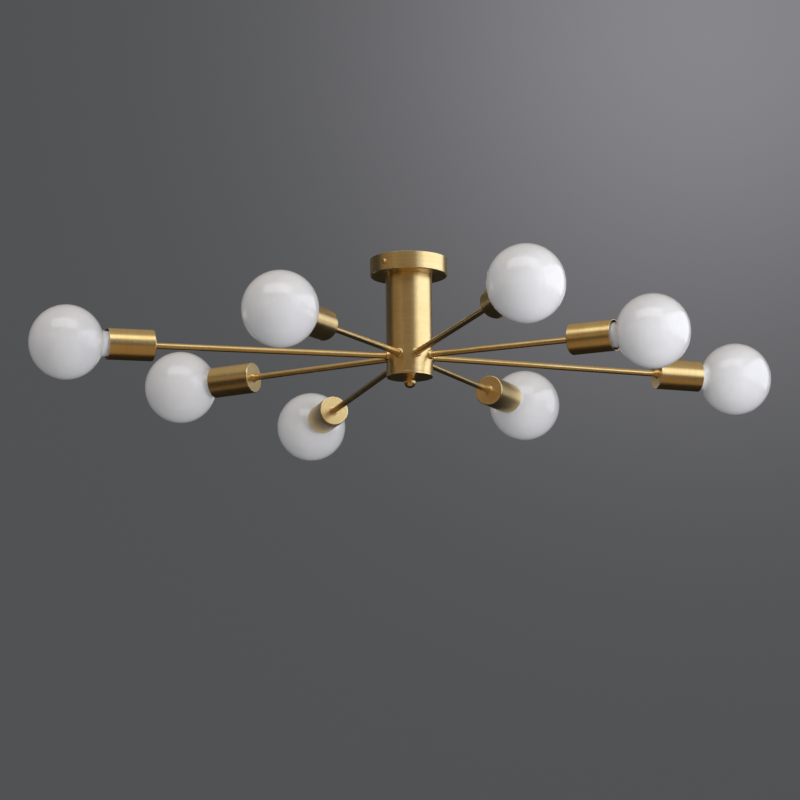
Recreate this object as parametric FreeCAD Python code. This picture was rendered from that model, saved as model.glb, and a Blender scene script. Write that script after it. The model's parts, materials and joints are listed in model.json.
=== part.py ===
import FreeCAD, Part
import math
import os

# A ceiling light with eight straight arms that radiate from a short fat stem. Long and short
# arms take turns, and each arm ends in a cylindrical cup with a screw lampholder and a large
# opal globe lamp that points outwards.
# Millimetres and degrees. The origin is the centre of the ceiling face, +Z points up, and the
# light hangs below it. The long arms lie along X and Y, the short ones between them.

V = FreeCAD.Vector
X_AXIS = V(1, 0, 0)
Y_AXIS = V(0, 1, 0)
Z_AXIS = V(0, 0, 1)
CENTRE = V(0, 0, 0)

# Overall
long_span = 1000.0  # across the globes of two opposite long arms
short_span = 780.0  # across the globes of two opposite short arms
arm_count = 8  # long, short, long, short and so on
group_count = 2  # halves of the arms that are wired apart
arm_droop = 0.75  # degrees below level
arm_rise = 27.5  # arm axes above the stem's lower end

# Ceiling canopy and its bracket
canopy_diameter = 100.0
canopy_height = 22.5
canopy_wall = 1.2
canopy_edge = 1.5  # rounding of the lower edge
bracket_turn = 33.3  # degrees from +X to the bracket's length
bracket_width = 20.0
bracket_thickness = 2.0
bracket_bend = 3.0  # outer radius of the folded ears
ear_height = 17.0
ear_clearance = 0.3  # ear to the canopy's inside
ceiling_screw_circle = 64.0
ceiling_screw_hole = 5.2
supply_hole = 10.0
canopy_screw_diameter = 4.0
canopy_screw_head = 6.5
canopy_screw_head_height = 2.2
canopy_screw_dome = 1.1  # rounding of the head
canopy_screw_drop = 11.0  # screw axis below the ceiling
canopy_screw_tip = 2.0  # tip beyond the ear
screw_hole_clearance = 0.2  # radial, through the canopy's wall
thread_clearance = 0.08  # radial, one thread in another
screw_seat_gap = 0.1  # under a screw's head
earth_screw_diameter = 4.0
earth_screw_head = 7.0
earth_screw_head_height = 2.4
earth_screw_dome = 1.2
earth_screw_place = 18.0  # from the bracket's centre

# Stem and the hollow rod that clamps it to the canopy
stem_diameter = 60.0
stem_wall = 1.5
stem_length = 133.5  # with the bottom cap's flange
bottom_flange = 3.4
spigot_height = 6.0
spigot_wall = 2.0
spigot_clearance = 0.1  # radial, spigot in the stem's bore
plug_thickness = 4.0
part_edge = 0.4  # small broken edges
rod_diameter = 10.0
rod_bore = 7.0
rod_clearance = 0.1  # radial, rod in plain holes
rod_nut_width = 17.0
rod_nut_height = 5.0
rod_washer_diameter = 20.0
rod_washer_height = 1.5
rod_above_nut = 1.8
rod_into_finial = 7.0
finial_bore_spare = 0.9  # bore beyond the rod's end
finial_diameter = 16.0
finial_neck = 13.2
finial_drop = 6.0  # ball's centre below the bottom cap
finial_seat_gap = 0.05

# Arms and their fittings
arm_diameter = 8.0
arm_wall = 1.0
arm_hole_clearance = 0.1  # radial, tube in plain holes
arm_behind_nut = 1.8
hub_nut_width = 12.0
hub_nut_height = 4.0
hub_nut_clearance = 0.1  # nut's corners to the stem's bore
hub_collar_diameter = 12.5
hub_collar_length = 3.0
cup_collar_flange = 13.0
cup_collar_flange_length = 1.2
cup_collar_diameter = 11.0
cup_collar_length = 3.4

# Cups
cup_diameter = 40.0
cup_length = 60.0
cup_wall = 1.0
cup_back = 1.5
cup_edge = 1.0  # rounding of the back edge
cup_setback = 52.0  # globe's centre to the cup's open rim

# Globe lamps with a 27 mm screw cap
globe_diameter = 95.0
globe_wall = 1.0
neck_diameter = 32.0
neck_blend = 8.0  # radius between globe and neck
neck_taper_start = 55.0  # globe's centre to the end of the straight neck
cap_setback = 63.5  # globe's centre to the cap's rim
cap_length = 27.0
cap_diameter = 26.4
cap_wall = 0.5
cap_thread_length = 21.0
cap_end_height = 3.5  # insulating cone between the thread and the centre contact
cap_end_diameter = 18.0
cap_contact_diameter = 9.5
cap_skirt = 4.5  # glass inside the cap
cap_cement = 0.05  # radial, glass in the cap

# Lampholders
holder_diameter = 37.0
holder_wall = 2.2
holder_recess = 6.0  # mouth behind the cup's rim
holder_floor = 3.0
holder_boss = 13.0
holder_edge = 1.0
wire_passage = 6.0
tube_insertion = 7.0  # arm tube inside the boss
shell_clearance = 0.3  # radial, screw shell round the cap
shell_wall = 0.4
shell_recess = 6.5  # screw shell behind the holder's mouth
shell_flange = 3.0
contact_air = 0.05
contact_rise = 2.5
contact_metal = 0.5
contact_width = 5.0
contact_reach = 3.0  # half the pad
contact_foot = 6.0

# Wiring
wire_diameter = 1.8
wire_spacing = 2.1  # between the two wires of a pair
wire_bend = 4.0
fan_bend = 3.0
lead_bend = 2.0
wire_rise = 12.0  # straight up from the arm before the wires draw together
wire_draw = 14.5  # height over which they draw together
wire_lead_in = 4.0  # straight into a splice sleeve
splice_slot = 2.4
splice_depth = 5.0
splice_height = 16.0
splice_edge = 1.5
splice_spacing = 2.0  # between the live and the neutral sleeves
live_inset = 3.0  # live wires inside the arm tubes' ends
feed_lead_in = 8.0
feed_live_draw = 18.0
feed_neutral_draw = 14.0
feed_radius = 1.2  # feed wires from the rod's axis
window_width = 5.4
window_height = 17.0
window_corner = 1.8
terminal_length = 14.0
terminal_width = 20.0
terminal_height = 10.0
terminal_edge = 1.0
terminal_gap = 7.0  # rod to terminal block
terminal_port_count = 4
terminal_port = 2.6
terminal_port_drop = 7.5  # port axes below the ceiling
terminal_pitch = 4.4
terminal_port_depth = 3.0
terminal_screw_hole = 3.0
terminal_screw_depth = 3.0
upper_bend_drop = 6.2  # bends of one pair of feed wires below the ceiling
lower_bend_drop = 8.7  # and of the other pair
port_bend = 1.0
port_lead_in = 3.5  # feed wires straight before the ports
port_insertion = 1.5  # feed wires inside the ports

# Places worked out from the sizes above
arm_pitch = 360.0 / arm_count
group_size = arm_count // group_count
stem_top = -canopy_height
stem_bottom = stem_top - stem_length
arm_level = stem_bottom + arm_rise
stem_radius = stem_diameter / 2
stem_bore_radius = stem_radius - stem_wall
canopy_radius = canopy_diameter / 2
canopy_inside_radius = canopy_radius - canopy_wall
canopy_floor = stem_top + canopy_wall
ear_face = math.sqrt(canopy_inside_radius**2 - (bracket_width / 2) ** 2) - ear_clearance
rod_radius = rod_diameter / 2
rod_hole_radius = rod_radius + rod_clearance
rod_nut_base = canopy_floor + rod_washer_height
rod_top = rod_nut_base + rod_nut_height + rod_above_nut
rod_bottom = stem_bottom - rod_into_finial
arm_radius = arm_diameter / 2
arm_hole_radius = arm_radius + arm_hole_clearance
hub_nut_outside = math.sqrt(stem_bore_radius**2 - (hub_nut_width / 2) ** 2) - hub_nut_clearance
arm_start = hub_nut_outside - hub_nut_height - arm_behind_nut
cup_rim_x = -cup_setback
cup_back_x = cup_rim_x - cup_length
cup_floor_x = cup_back_x + cup_back
arm_end_x = cup_floor_x + tube_insertion
cap_rim_x = -cap_setback
cap_tip_x = cap_rim_x - cap_length
cap_radius = cap_diameter / 2
holder_mouth_x = cup_rim_x - holder_recess
holder_floor_x = cap_tip_x - contact_air - contact_rise
holder_back_x = holder_floor_x - holder_floor
live_radius = arm_start - live_inset
neutral_radius = live_radius - splice_depth - splice_spacing
fan_start = arm_level + wire_rise
splice_bottom = fan_start + wire_draw + wire_lead_in
splice_top = splice_bottom + splice_height
feed_fan_end = splice_top + feed_lead_in
window_bottom = feed_fan_end + window_width / 2
terminal_face = rod_radius + terminal_gap


def section_point(axis, along, radius):
    """A point of a half-section, given along the axis of turning and out from it."""
    if axis == X_AXIS:
        return V(along, 0, radius)
    return V(radius, 0, along)


def rounded_edges(path, closed):
    """Straight runs through (corner, rounding) pairs, with a tangent arc at each rounding."""
    joints = []
    for index, (corner, rounding) in enumerate(path):
        if rounding == 0:
            joints.append((corner, None, corner))
            continue
        before = (path[index - 1][0] - corner).normalize()
        after = (path[(index + 1) % len(path)][0] - corner).normalize()
        half_angle = before.getAngle(after) / 2
        tangent = rounding / math.tan(half_angle)
        bulge = (before + after).normalize() * (rounding / math.sin(half_angle) - rounding)
        joints.append((corner + before * tangent, corner + bulge, corner + after * tangent))
    edges = []
    for index, (start, middle, end) in enumerate(joints):
        if middle is not None:
            edges.append(Part.Arc(start, middle, end).toShape())
        if closed or index + 1 < len(joints):
            following = joints[(index + 1) % len(joints)][0]
            edges.append(Part.LineSegment(end, following).toShape())
    return edges


def spun(axis, edges):
    """Solid of revolution of a closed half-section."""
    section = Part.Face(Part.Wire(Part.__sortEdges__(edges)))
    return section.revolve(CENTRE, axis, 360)


def turned(axis, corners):
    """Turned piece from (along, radius) or (along, radius, rounding) corners."""
    path = [(section_point(axis, *corner[:2]), (corner + (0.0,))[2]) for corner in corners]
    return spun(axis, rounded_edges(path, closed=True))


def ring(axis, start, end, inner_radius, outer_radius):
    """Plain tube, washer or collar."""
    inside = [(start, inner_radius), (end, inner_radius)]
    outside = [(end, outer_radius), (start, outer_radius)]
    return turned(axis, inside + outside)


def hexagon_nut(axis, start, height, width, hole_radius):
    """Hexagon nut that lies from start along the axis, with a flat on each side of Y."""
    corner_radius = width / math.sqrt(3)
    corners = []
    for side in range(7):
        angle = math.radians(60 * side)
        corners.append(V(0, corner_radius * math.sin(angle), corner_radius * math.cos(angle)))
    blank = Part.Face(Part.makePolygon(corners)).extrude(X_AXIS * height)
    nut = blank.cut(Part.makeCylinder(hole_radius, height, CENTRE, X_AXIS))
    nut.translate(X_AXIS * start)
    if axis == Z_AXIS:
        nut.rotate(CENTRE, Y_AXIS, -90)
    return nut


def rounded_box(low, high, rounding, directions=(Z_AXIS,)):
    """Box between two corners, with its edges along the given directions rounded."""
    least_cosine = 0.9  # of an edge that counts as along a direction
    size = high - low
    box = Part.makeBox(size.x, size.y, size.z, low)
    chosen = []
    for edge in box.Edges:
        run = edge.tangentAt(edge.FirstParameter)
        if any(abs(run.dot(direction)) > least_cosine for direction in directions):
            chosen.append(edge)
    return box.makeFillet(rounding, chosen)


def wire_along(path, section_diameter):
    """Insulated wire along (corner, rounding) pairs."""
    route = Part.Wire(rounded_edges(path, closed=False))
    start = path[0][0]
    heading = path[1][0] - start
    outline = Part.Wire(Part.makeCircle(section_diameter / 2, start, heading))
    return route.makePipeShell([outline], True, False)


def on_arm(shape, arm):
    """Place a piece of the arm frame: hub axis at the origin, arm along X."""
    placed = shape.copy()
    placed.rotate(CENTRE, Y_AXIS, arm_droop)
    placed.rotate(CENTRE, Z_AXIS, arm * arm_pitch)
    placed.translate(Z_AXIS * arm_level)
    return placed


def arm_reach(arm):
    """Distance from the hub axis to the globe's centre, along the arm."""
    span = long_span if arm % 2 == 0 else short_span
    return (span - globe_diameter) / 2


def on_lamp(shape, arm):
    """Place a piece of the lamp frame: globe's centre at the origin, outwards along X."""
    placed = shape.copy()
    placed.translate(X_AXIS * arm_reach(arm))
    return on_arm(placed, arm)


def on_bracket(shape):
    """Place a piece of the bracket frame: bracket's length along X."""
    placed = shape.copy()
    placed.rotate(CENTRE, Z_AXIS, bracket_turn)
    return placed


def polar(turn, radius, sideways, level):
    """Point at a radius on a bearing, moved sideways, at a level."""
    angle = math.radians(turn)
    return V(
        radius * math.cos(angle) - sideways * math.sin(angle),
        radius * math.sin(angle) + sideways * math.cos(angle),
        level,
    )


# Ceiling end


def make_canopy():
    """Shallow round cup, open towards the ceiling."""
    shell = turned(
        Z_AXIS,
        [
            (0, canopy_inside_radius),
            (0, canopy_radius),
            (stem_top, canopy_radius, canopy_edge),
            (stem_top, rod_hole_radius),
            (canopy_floor, rod_hole_radius),
            (canopy_floor, canopy_inside_radius, canopy_edge - canopy_wall),
        ],
    )
    screw_hole = Part.makeCylinder(
        canopy_screw_diameter / 2 + screw_hole_clearance,
        canopy_diameter,
        V(-canopy_radius, 0, -canopy_screw_drop),
        X_AXIS,
    )
    return shell.cut(on_bracket(screw_hole))


def make_ceiling_bracket():
    """Flat strip with two ears folded down inside the canopy's wall."""
    outline = [
        (V(-ear_face, 0, 0), bracket_bend),
        (V(ear_face, 0, 0), bracket_bend),
        (V(ear_face, 0, -ear_height), 0.0),
        (V(ear_face - bracket_thickness, 0, -ear_height), 0.0),
        (V(ear_face - bracket_thickness, 0, -bracket_thickness), bracket_bend - bracket_thickness),
        (V(bracket_thickness - ear_face, 0, -bracket_thickness), bracket_bend - bracket_thickness),
        (V(bracket_thickness - ear_face, 0, -ear_height), 0.0),
        (V(-ear_face, 0, -ear_height), 0.0),
    ]
    strip = Part.Face(Part.Wire(rounded_edges(outline, closed=True))).extrude(Y_AXIS * bracket_width)
    strip.translate(Y_AXIS * (-bracket_width / 2))
    holes = [Part.makeCylinder(supply_hole / 2, bracket_thickness, CENTRE, -Z_AXIS)]
    for side in (-1, 1):
        place = V(side * ceiling_screw_circle / 2, 0, 0)
        holes.append(Part.makeCylinder(ceiling_screw_hole / 2, bracket_thickness, place, -Z_AXIS))
    earth_place = V(-earth_screw_place, 0, 0)
    earth_radius = earth_screw_diameter / 2 + thread_clearance
    holes.append(Part.makeCylinder(earth_radius, bracket_thickness, earth_place, -Z_AXIS))
    ear_radius = canopy_screw_diameter / 2 + thread_clearance
    ear_place = V(-canopy_radius, 0, -canopy_screw_drop)
    holes.append(Part.makeCylinder(ear_radius, canopy_diameter, ear_place, X_AXIS))
    return on_bracket(strip.cut(Part.makeCompound(holes)))


def make_canopy_screw(side):
    """Pan-head screw through the canopy's wall into one ear."""
    head_base = canopy_radius + screw_seat_gap
    head_top = head_base + canopy_screw_head_height
    tip = ear_face - bracket_thickness - canopy_screw_tip
    screw = turned(
        X_AXIS,
        [
            (tip, 0),
            (tip, canopy_screw_diameter / 2, part_edge),
            (head_base, canopy_screw_diameter / 2),
            (head_base, canopy_screw_head / 2),
            (head_top, canopy_screw_head / 2, canopy_screw_dome),
            (head_top, 0),
        ],
    )
    screw.translate(Z_AXIS * -canopy_screw_drop)
    screw.rotate(CENTRE, Z_AXIS, 180 * side)
    return on_bracket(screw)


def make_earth_screw():
    """Screw for the earth wire, up through the bracket."""
    under = -bracket_thickness
    head_low = under - earth_screw_head_height
    screw = turned(
        Z_AXIS,
        [
            (-part_edge, 0),
            (-part_edge, earth_screw_diameter / 2),
            (under, earth_screw_diameter / 2),
            (under, earth_screw_head / 2),
            (head_low, earth_screw_head / 2, earth_screw_dome),
            (head_low, 0),
        ],
    )
    screw.translate(X_AXIS * -earth_screw_place)
    return on_bracket(screw)


def port_places():
    """Sideways places of the terminal block's ports."""
    middle = (terminal_port_count - 1) / 2
    return [(port - middle) * terminal_pitch for port in range(terminal_port_count)]


def make_terminal_block():
    """Four-way screw terminal block under the bracket."""
    low = V(terminal_face, -terminal_width / 2, -bracket_thickness - terminal_height)
    high = V(terminal_face + terminal_length, terminal_width / 2, -bracket_thickness)
    block = rounded_box(low, high, terminal_edge, (X_AXIS, Z_AXIS))
    holes = []
    for sideways in port_places():
        mouth = V(terminal_face, sideways, -terminal_port_drop)
        holes.append(Part.makeCylinder(terminal_port / 2, terminal_port_depth, mouth, X_AXIS))
        under = V(terminal_face + terminal_length / 2, sideways, low.z)
        holes.append(Part.makeCylinder(terminal_screw_hole / 2, terminal_screw_depth, under, Z_AXIS))
    return on_bracket(block.cut(Part.makeCompound(holes)))


# Stem


def make_rod_nut_set():
    """Washer and hexagon nut on the canopy's floor."""
    washer = ring(Z_AXIS, canopy_floor, rod_nut_base, rod_hole_radius, rod_washer_diameter / 2)
    hole_radius = rod_radius + thread_clearance
    nut = hexagon_nut(Z_AXIS, rod_nut_base, rod_nut_height, rod_nut_width, hole_radius)
    return Part.makeCompound([washer, nut])


def group_turn(group):
    """Bearing of the middle of one half of the arms."""
    return (group * group_size + (group_size - 1) / 2) * arm_pitch


def make_tie_rod():
    """Hollow rod from the canopy's nut to the finial, with windows for the wires."""
    rod = ring(Z_AXIS, rod_bottom, rod_top, rod_bore / 2, rod_radius)
    opening = rounded_box(
        V(-rod_diameter, -window_width / 2, window_bottom),
        V(rod_diameter, window_width / 2, window_bottom + window_height),
        window_corner,
        (X_AXIS,),
    )
    opening.rotate(CENTRE, Z_AXIS, group_turn(0))
    return rod.cut(opening)


def make_stem_plug():
    """Disc that centres the stem's upper end on the rod."""
    plug_radius = stem_bore_radius - spigot_clearance
    return turned(
        Z_AXIS,
        [
            (stem_top, rod_hole_radius),
            (stem_top, plug_radius),
            (stem_top - plug_thickness, plug_radius, part_edge),
            (stem_top - plug_thickness, rod_hole_radius),
        ],
    )


def make_stem_tube():
    """Wide tube with a ring of holes for the arms."""
    tube = ring(Z_AXIS, stem_bottom + bottom_flange, stem_top, stem_bore_radius, stem_radius)
    drill = Part.makeCylinder(arm_hole_radius, stem_diameter, CENTRE, X_AXIS)
    holes = [on_arm(drill, arm) for arm in range(arm_count)]
    return tube.cut(Part.makeCompound(holes))


def make_bottom_cap():
    """Flat cap flush with the stem, with a spigot inside its bore."""
    flange_top = stem_bottom + bottom_flange
    spigot_radius = stem_bore_radius - spigot_clearance
    return turned(
        Z_AXIS,
        [
            (stem_bottom, rod_hole_radius),
            (stem_bottom, stem_radius, part_edge),
            (flange_top, stem_radius),
            (flange_top, spigot_radius),
            (flange_top + spigot_height, spigot_radius, part_edge),
            (flange_top + spigot_height, spigot_radius - spigot_wall),
            (flange_top, spigot_radius - spigot_wall),
            (flange_top, rod_hole_radius),
        ],
    )


def make_finial():
    """Ball nut that screws on the rod's lower end."""
    ball_radius = finial_diameter / 2
    neck_radius = finial_neck / 2
    bore_radius = rod_radius + thread_clearance
    seat = stem_bottom - finial_seat_gap
    middle = stem_bottom - finial_drop
    bore_end = rod_bottom - finial_bore_spare
    neck_end = middle + math.sqrt(ball_radius**2 - neck_radius**2)
    corners = [
        (neck_end, neck_radius),
        (seat, neck_radius),
        (seat, bore_radius),
        (bore_end, bore_radius),
        (bore_end, 0),
        (middle - ball_radius, 0),
    ]
    points = [section_point(Z_AXIS, *corner) for corner in corners]
    edges = [Part.LineSegment(a, b).toShape() for a, b in zip(points, points[1:])]
    side = section_point(Z_AXIS, middle, ball_radius)
    edges.append(Part.Arc(points[-1], side, points[0]).toShape())
    return spun(Z_AXIS, edges)


# Arms


def make_arm_tube(arm):
    """Tube from inside the stem to inside the lampholder's boss."""
    end = arm_reach(arm) + arm_end_x
    return on_arm(ring(X_AXIS, arm_start, end, arm_radius - arm_wall, arm_radius), arm)


def make_hub_nut(arm):
    """Hexagon nut inside the stem."""
    hole_radius = arm_radius + thread_clearance
    start = hub_nut_outside - hub_nut_height
    return on_arm(hexagon_nut(X_AXIS, start, hub_nut_height, hub_nut_width, hole_radius), arm)


def make_hub_collar(arm):
    """Collar outside the stem, with its back shaped to the stem."""
    radius = hub_collar_diameter / 2
    back = math.sqrt(stem_radius**2 - radius**2) - part_edge
    front = stem_radius + hub_collar_length
    collar = turned(
        X_AXIS,
        [
            (back, arm_hole_radius),
            (back, radius),
            (front, radius, radius - arm_hole_radius - part_edge),
            (front, arm_hole_radius),
        ],
    )
    stem = Part.makeCylinder(stem_radius, stem_length, V(0, 0, stem_bottom), Z_AXIS)
    return on_arm(collar, arm).cut(stem)


def make_cup_collar(arm):
    """Flanged collar behind the cup."""
    flange_x = cup_back_x - cup_collar_flange_length
    end_x = cup_back_x - cup_collar_length
    collar = turned(
        X_AXIS,
        [
            (cup_back_x, arm_hole_radius),
            (cup_back_x, cup_collar_flange / 2),
            (flange_x, cup_collar_flange / 2, part_edge),
            (flange_x, cup_collar_diameter / 2),
            (end_x, cup_collar_diameter / 2, part_edge),
            (end_x, arm_hole_radius),
        ],
    )
    return on_lamp(collar, arm)


def make_socket_cup(arm):
    """Cylindrical cup round the lampholder, open outwards."""
    radius = cup_diameter / 2
    cup = turned(
        X_AXIS,
        [
            (cup_rim_x, radius - cup_wall),
            (cup_rim_x, radius, part_edge),
            (cup_back_x, radius, cup_edge),
            (cup_back_x, arm_hole_radius),
            (cup_floor_x, arm_hole_radius),
            (cup_floor_x, radius - cup_wall),
        ],
    )
    return on_lamp(cup, arm)


# Lampholders


def make_lamp_holder(arm):
    """Moulded lampholder body on a threaded boss that bears on the cup's back."""
    radius = holder_diameter / 2
    holder = turned(
        X_AXIS,
        [
            (holder_mouth_x, radius - holder_wall),
            (holder_mouth_x, radius, holder_edge),
            (holder_back_x, radius, holder_edge),
            (holder_back_x, holder_boss / 2),
            (cup_floor_x, holder_boss / 2),
            (cup_floor_x, arm_hole_radius),
            (arm_end_x, arm_hole_radius),
            (arm_end_x, wire_passage / 2),
            (holder_floor_x, wire_passage / 2),
            (holder_floor_x, radius - holder_wall),
        ],
    )
    return on_lamp(holder, arm)


def make_holder_shell(arm):
    """Screw shell with its back edge turned in on the holder's floor."""
    inside = cap_radius + shell_clearance
    outside = inside + shell_wall
    front = holder_mouth_x - shell_recess
    shell = turned(
        X_AXIS,
        [
            (front, inside),
            (front, outside),
            (holder_floor_x, outside),
            (holder_floor_x, outside - shell_flange),
            (holder_floor_x + shell_wall, outside - shell_flange),
            (holder_floor_x + shell_wall, inside),
        ],
    )
    return on_lamp(shell, arm)


def make_holder_contact(arm):
    """Folded spring tongue under the lamp's centre contact."""
    foot = holder_floor_x
    pad = foot + contact_rise
    fold = contact_reach
    corners = [
        (foot, -contact_foot),
        (foot, fold),
        (pad, fold),
        (pad, -contact_reach),
        (pad - contact_metal, -contact_reach),
        (pad - contact_metal, fold - contact_metal),
        (foot + contact_metal, fold - contact_metal),
        (foot + contact_metal, -contact_foot),
    ]
    path = [(V(along, -contact_width / 2, level), 0.0) for along, level in corners]
    outline = Part.Wire(rounded_edges(path, closed=True))
    return on_lamp(Part.Face(outline).extrude(Y_AXIS * contact_width), arm)


# Globe lamps


def globe_half_section(wall):
    """Pole, blend start, blend end and arc middles of the globe at a depth in its wall."""
    radius = globe_diameter / 2
    blend_radius = neck_diameter / 2 + neck_blend
    blend_x = -math.sqrt((radius + neck_blend) ** 2 - blend_radius**2)
    blend_turn = math.atan2(blend_radius, blend_x)
    depth_radius = radius - wall
    start = V(depth_radius * math.cos(blend_turn), 0, depth_radius * math.sin(blend_turn))
    globe_middle = V(depth_radius * math.cos(blend_turn / 2), 0, depth_radius * math.sin(blend_turn / 2))
    end = V(blend_x, 0, neck_diameter / 2 - wall)
    from_centre = (3 * math.pi / 2 + blend_turn + math.pi) / 2
    depth_blend = neck_blend + wall
    blend_middle = V(
        blend_x + depth_blend * math.cos(from_centre), 0, blend_radius + depth_blend * math.sin(from_centre)
    )
    return V(depth_radius, 0, 0), globe_middle, start, blend_middle, end


def make_bulb_globe(arm):
    """Hollow opal globe with a short neck that tapers into the lamp's cap."""
    outer_pole, outer_middle, outer_start, outer_blend, outer_end = globe_half_section(0)
    inner_pole, inner_middle, inner_start, inner_blend, inner_end = globe_half_section(globe_wall)
    skirt_radius = cap_radius - cap_wall - cap_cement
    skirt_x = cap_rim_x - cap_skirt
    neck = [
        outer_end,
        V(-neck_taper_start, 0, neck_diameter / 2),
        V(cap_rim_x, 0, cap_radius),
        V(cap_rim_x, 0, skirt_radius),
        V(skirt_x, 0, skirt_radius),
        V(skirt_x, 0, skirt_radius - globe_wall),
        V(cap_rim_x, 0, skirt_radius - globe_wall),
        V(-neck_taper_start, 0, neck_diameter / 2 - globe_wall),
        inner_end,
    ]
    edges = [Part.LineSegment(a, b).toShape() for a, b in zip(neck, neck[1:])]
    edges.append(Part.Arc(outer_pole, outer_middle, outer_start).toShape())
    edges.append(Part.Arc(outer_start, outer_blend, outer_end).toShape())
    edges.append(Part.Arc(inner_end, inner_blend, inner_start).toShape())
    edges.append(Part.Arc(inner_start, inner_middle, inner_pole).toShape())
    edges.append(Part.LineSegment(inner_pole, outer_pole).toShape())
    return on_lamp(spun(X_AXIS, edges), arm)


def make_bulb_cap(arm):
    """Screw cap with its insulating cone and centre contact."""
    thread_x = cap_rim_x - cap_thread_length
    cone_x = thread_x - cap_end_height
    cap = turned(
        X_AXIS,
        [
            (cap_rim_x, cap_radius - cap_wall),
            (cap_rim_x, cap_radius),
            (thread_x, cap_radius, part_edge),
            (cone_x, cap_end_diameter / 2),
            (cone_x, cap_contact_diameter / 2),
            (cap_tip_x, cap_contact_diameter / 2, part_edge),
            (cap_tip_x, 0),
            (thread_x + cap_wall, 0),
            (thread_x + cap_wall, cap_radius - cap_wall),
        ],
    )
    return on_lamp(cap, arm)


# Wiring


def slot_offset(arm):
    """Sideways place of an arm's wire in its splice sleeve."""
    return (arm % group_size - (group_size - 1) / 2) * splice_slot


def make_arm_wire(arm, cage_radius, sideways):
    """One wire from a lampholder, through the arm and up to its splice sleeve."""
    lamp_end = V(arm_reach(arm) + holder_floor_x, sideways, 0)
    turn_up = V(cage_radius, sideways, 0)
    ends = [on_arm(Part.Vertex(place), arm).Point for place in (lamp_end, turn_up)]
    fan = V(ends[1].x, ends[1].y, fan_start)
    bearing = group_turn(arm // group_size)
    slot = slot_offset(arm)
    lead_in = polar(bearing, cage_radius, slot, splice_bottom - wire_lead_in)
    splice = polar(bearing, cage_radius, slot, splice_bottom)
    path = [(ends[0], 0.0), (ends[1], wire_bend), (fan, fan_bend), (lead_in, fan_bend), (splice, 0.0)]
    return wire_along(path, wire_diameter)


def make_arm_wires():
    """Live and neutral wire of every arm."""
    wires = []
    for arm in range(arm_count):
        wires.append(make_arm_wire(arm, live_radius, wire_spacing / 2))
        wires.append(make_arm_wire(arm, neutral_radius, -wire_spacing / 2))
    return Part.makeCompound(wires)


def make_splice_sleeve(group, cage_radius):
    """Crimped sleeve that joins one half of the arms to a feed wire."""
    half_width = (group_size * splice_slot + part_edge) / 2
    low = V(cage_radius - splice_depth / 2, -half_width, splice_bottom)
    high = V(cage_radius + splice_depth / 2, half_width, splice_top)
    sleeve = rounded_box(low, high, splice_edge)
    sleeve.rotate(CENTRE, Z_AXIS, group_turn(group))
    return sleeve


def make_splice_sleeves():
    """One live and one neutral sleeve for each half of the arms."""
    sleeves = []
    for group in range(group_count):
        for cage_radius in (live_radius, neutral_radius):
            sleeves.append(make_splice_sleeve(group, cage_radius))
    return Part.makeCompound(sleeves)


def make_feed_wire(group, cage_radius, sideways, draw, bend_drop, port):
    """One wire from a splice sleeve, up through the rod to the terminal block."""
    bearing = group_turn(group)
    in_rod = polar(bearing, feed_radius, sideways, feed_fan_end + draw)
    top = V(in_rod.x, in_rod.y, -bend_drop)
    port_end = V(terminal_face + port_insertion, port, -terminal_port_drop)
    port_lead = V(terminal_face - port_lead_in, port, -terminal_port_drop)
    port_end, port_lead = [on_bracket(Part.Vertex(place)).Point for place in (port_end, port_lead)]
    path = [
        (polar(bearing, cage_radius, sideways, splice_top), 0.0),
        (polar(bearing, cage_radius, sideways, feed_fan_end), fan_bend),
        (in_rod, fan_bend),
        (top, lead_bend),
        (port_lead, port_bend),
        (port_end, 0.0),
    ]
    return wire_along(path, wire_diameter)


def make_feed_wires():
    """Live and neutral feed of each half of the arms."""
    ports = port_places()
    half = wire_spacing / 2
    wires = [
        make_feed_wire(0, live_radius, half, feed_live_draw, lower_bend_drop, ports[3]),
        make_feed_wire(0, neutral_radius, -half, feed_neutral_draw, lower_bend_drop, ports[1]),
        make_feed_wire(1, live_radius, half, feed_live_draw, upper_bend_drop, ports[0]),
        make_feed_wire(1, neutral_radius, -half, feed_neutral_draw, upper_bend_drop, ports[2]),
    ]
    return Part.makeCompound(wires)


def write(name, shape):
    """Write one named piece."""
    shape.exportStep(f"parts/{name}.step")


def write_set(name, make):
    """Write one node that holds the same fitting for every arm."""
    write(name, Part.makeCompound([make(arm) for arm in range(arm_count)]))


def build():
    """Write every piece of the light."""
    os.makedirs("parts", exist_ok=True)
    write("ceiling_bracket", make_ceiling_bracket())
    write("canopy", make_canopy())
    write("canopy_screw_1", make_canopy_screw(0))
    write("canopy_screw_2", make_canopy_screw(1))
    write("earth_screw", make_earth_screw())
    write("terminal_block", make_terminal_block())
    write("rod_nut_set", make_rod_nut_set())
    write("tie_rod", make_tie_rod())
    write("stem_plug", make_stem_plug())
    write("stem_tube", make_stem_tube())
    write("bottom_cap", make_bottom_cap())
    write("finial", make_finial())
    write_set("hub_nuts", make_hub_nut)
    write_set("hub_collars", make_hub_collar)
    write_set("cup_collars", make_cup_collar)
    write_set("holder_shells", make_holder_shell)
    write_set("holder_contacts", make_holder_contact)
    for arm in range(arm_count):
        number = arm + 1
        write(f"arm_tube_{number}", make_arm_tube(arm))
        write(f"socket_cup_{number}", make_socket_cup(arm))
        write(f"lamp_holder_{number}", make_lamp_holder(arm))
        write(f"bulb_globe_{number}", make_bulb_globe(arm))
        write(f"bulb_cap_{number}", make_bulb_cap(arm))
    write("arm_wires", make_arm_wires())
    write("splice_sleeves", make_splice_sleeves())
    write("feed_wires", make_feed_wires())


build()
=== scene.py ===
import json
import math

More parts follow.
